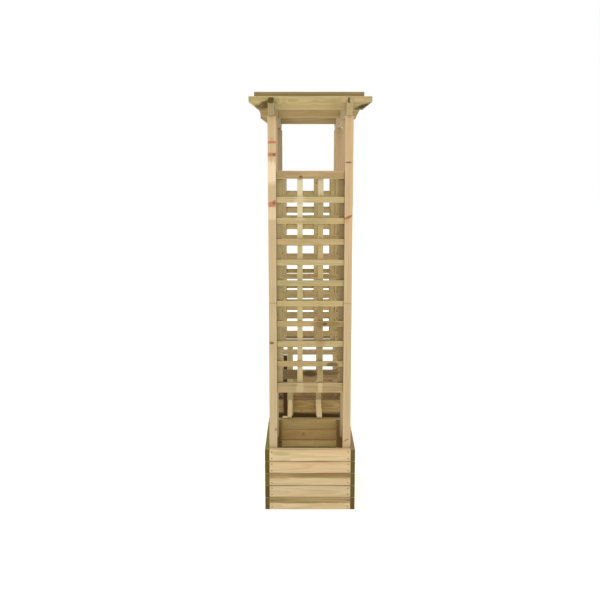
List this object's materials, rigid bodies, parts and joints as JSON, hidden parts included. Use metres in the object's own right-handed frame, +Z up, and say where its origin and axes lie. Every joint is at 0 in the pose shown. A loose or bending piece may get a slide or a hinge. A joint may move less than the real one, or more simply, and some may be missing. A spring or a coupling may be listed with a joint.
{
  "type": "planter pergola",
  "caption": "Free-standing timber pergola: two square slatted planters, lattice panels between spliced posts, two side beams and cross rafters",
  "frame": {"origin": "middle of the footprint, on the ground", "axes": "+Z up, X across the width, Y along the length through both planters"},
  "size_m": [0.592, 1.286, 2.08],
  "materials": {
    "wall_boards": "planed pressure-treated pine, pale tan with green and brown stain bands",
    "inner_wall_boards": "pressure-treated pine, darker olive brown",
    "battens": "sawn treated pine",
    "floor_boards": "sawn treated pine",
    "posts": "planed pressure-treated pine with knots",
    "lattice_rails": "planed pressure-treated pine, greenish",
    "lattice_laths": "planed pressure-treated pine laths, yellow green",
    "roof_timber": "pressure-treated pine, olive with dark stained ends",
    "link_laths": "pressure-treated pine laths, one edge dark",
    "nails": "dull galvanised steel",
    "screws": "dull zinc plated steel",
    "dowels": "plain beech"
  },
  "bodies": {
    "root": {"front_planter_outer_wall": "wall_boards", "front_planter_inner_wall": "inner_wall_boards", "front_planter_left_side": "wall_boards", "front_planter_right_side": "wall_boards", "front_planter_left_batten": "battens", "front_planter_right_batten": "battens", "front_planter_floor": "floor_boards", "back_planter_outer_wall": "wall_boards", "back_planter_inner_wall": "inner_wall_boards", "back_planter_left_side": "wall_boards", "back_planter_right_side": "wall_boards", "back_planter_left_batten": "battens", "back_planter_right_batten": "battens", "back_planter_floor": "floor_boards", "front_left_outer_post_lower": "posts", "front_left_outer_post_upper": "posts", "front_right_outer_post_lower": "posts", "front_right_outer_post_upper": "posts", "front_left_inner_post_lower": "posts", "front_left_inner_post_upper": "posts", "front_right_inner_post_lower": "posts", "front_right_inner_post_upper": "posts", "back_left_outer_post_lower": "posts", "back_left_outer_post_upper": "posts", "back_right_outer_post_lower": "posts", "back_right_outer_post_upper": "posts", "back_left_inner_post_lower": "posts", "back_left_inner_post_upper": "posts", "back_right_inner_post_lower": "posts", "back_right_inner_post_upper": "posts", "front_outer_top_rail": "lattice_rails", "front_outer_bottom_rail": "lattice_rails", "front_outer_slats": "lattice_laths", "front_outer_laths": "lattice_laths", "front_inner_top_rail": "lattice_rails", "front_inner_bottom_rail": "lattice_rails", "front_inner_slats": "lattice_laths", "front_inner_laths": "lattice_laths", "back_outer_top_rail": "lattice_rails", "back_outer_bottom_rail": "lattice_rails", "back_outer_slats": "lattice_laths", "back_outer_laths": "lattice_laths", "back_inner_top_rail": "lattice_rails", "back_inner_bottom_rail": "lattice_rails", "back_inner_slats": "lattice_laths", "back_inner_laths": "lattice_laths", "left_beam": "roof_timber", "right_beam": "roof_timber", "front_rafter": "roof_timber", "middle_rafter": "roof_timber", "back_rafter": "roof_timber", "floor_bearers": "floor_boards", "left_tie_lath": "link_laths", "right_tie_lath": "link_laths", "left_upright": "link_laths", "right_upright": "link_laths", "wall_nails": "nails", "rail_screws": "screws", "splice_dowels": "dowels", "roof_screws": "screws"}
  },
  "joints": []
}
